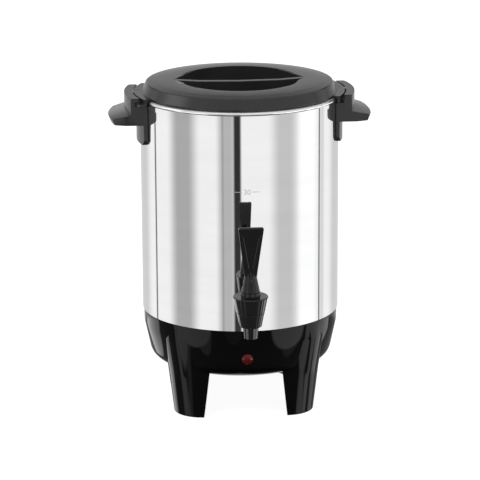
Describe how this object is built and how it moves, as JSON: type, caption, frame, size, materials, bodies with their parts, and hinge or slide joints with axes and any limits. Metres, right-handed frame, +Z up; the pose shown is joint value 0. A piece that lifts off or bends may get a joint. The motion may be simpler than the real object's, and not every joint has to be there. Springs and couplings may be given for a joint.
{
  "type": "coffee urn",
  "caption": "Electric percolator coffee urn: polished steel tank on a footed black base, side handles, bayonet lid with a grip recess, lever tap, lamp and a lift-out pump and basket.",
  "frame": {"origin": "on the urn's axis at the floor, in the middle of its four feet", "axes": "+Z up along the urn's axis, -Y towards the tap at the front, +X towards the right handle"},
  "size_m": [0.262, 0.2576, 0.331],
  "materials": {
    "polished_steel": "mirror-polished stainless steel",
    "plain_steel": "plain stainless steel",
    "gloss_black": "glossy moulded black",
    "satin_black": "satin moulded black",
    "tap_black": "glossy moulded black",
    "inlet_black": "matt black",
    "dark_plastic": "matt dark grey",
    "silicone": "translucent grey silicone",
    "cast_aluminium": "as cast",
    "ceramic_white": "matt ceramic",
    "lens_red": "clear red",
    "brass": "plain",
    "wire_sleeve": "matt silicone sleeve"
  },
  "bodies": {
    "urn": {"tank": "polished_steel", "base_housing": "gloss_black", "base_seal": "silicone", "bottom_cover": "dark_plastic", "centre_stud": "plain_steel", "base_nut": "plain_steel", "heater_block": "cast_aluminium", "heater_nut": "plain_steel", "clamp_bar": "plain_steel", "thermostat": "dark_plastic", "thermal_fuse": "ceramic_white", "indicator_lens": "lens_red", "lamp_holder": "dark_plastic", "power_inlet": "inlet_black", "inlet_pins": "brass", "inlet_screws": "plain_steel", "internal_wires": "wire_sleeve", "left_handle": "satin_black", "right_handle": "satin_black", "handle_screws": "plain_steel", "handle_washers": "silicone", "tap_body": "tap_black", "tap_bonnet": "tap_black", "tap_washers": "silicone", "tap_nut": "plain_steel"},
    "valve": {"valve_stem": "plain_steel", "seat_cup": "silicone", "lever_pin": "plain_steel"},
    "lever": {"tap_lever": "tap_black"},
    "lid_ring": {"lid_seal": "silicone"},
    "lid": {"lid_cover": "satin_black", "lid_liner": "plain_steel", "lid_screws": "plain_steel"},
    "percolator": {"pump_tube": "plain_steel", "coffee_basket": "plain_steel"},
    "pump_disc": {"pump_valve": "brass"},
    "spreader": {"basket_cover": "plain_steel"}
  },
  "joints": [
    {"name": "valve_lift", "type": "slide", "parent": "urn", "child": "valve", "axis": [0, 0, 1], "range_m": [0, 0.0046]},
    {"name": "lever_pull", "type": "hinge", "parent": "valve", "child": "lever", "pos_m": [0, -0.139, 0.1574], "axis": [1, 0, 0], "range_deg": [0, 35], "stiffness_Nm_per_rad": 0.3, "springref_deg": -11.46},
    {"name": "lid_lift", "type": "slide", "parent": "urn", "child": "lid_ring", "axis": [0, 0, 1], "range_m": [0, 0.46]},
    {"name": "lid_turn", "type": "hinge", "parent": "lid_ring", "child": "lid", "pos_m": [0, 0, 0.317], "axis": [0, 0, 1], "range_deg": [-18, 0]},
    {"name": "percolator_lift", "type": "slide", "parent": "urn", "child": "percolator", "axis": [0, 0, 1], "range_m": [0, 0.23]},
    {"name": "spreader_lift", "type": "slide", "parent": "percolator", "child": "spreader", "axis": [0, 0, 1], "range_m": [0, 0.069]},
    {"name": "pump_disc_lift", "type": "slide", "parent": "percolator", "child": "pump_disc", "axis": [0, 0, 1], "range_m": [0, 0.003]}
  ],
  "couplings": [
    {"joint": "valve_lift", "follows": "lever_pull", "m_per_rad": 0.0072},
    {"joint": "percolator_lift", "follows": "lid_lift", "ratio": 0.5},
    {"joint": "spreader_lift", "follows": "lid_lift", "ratio": 0.15}
  ]
}
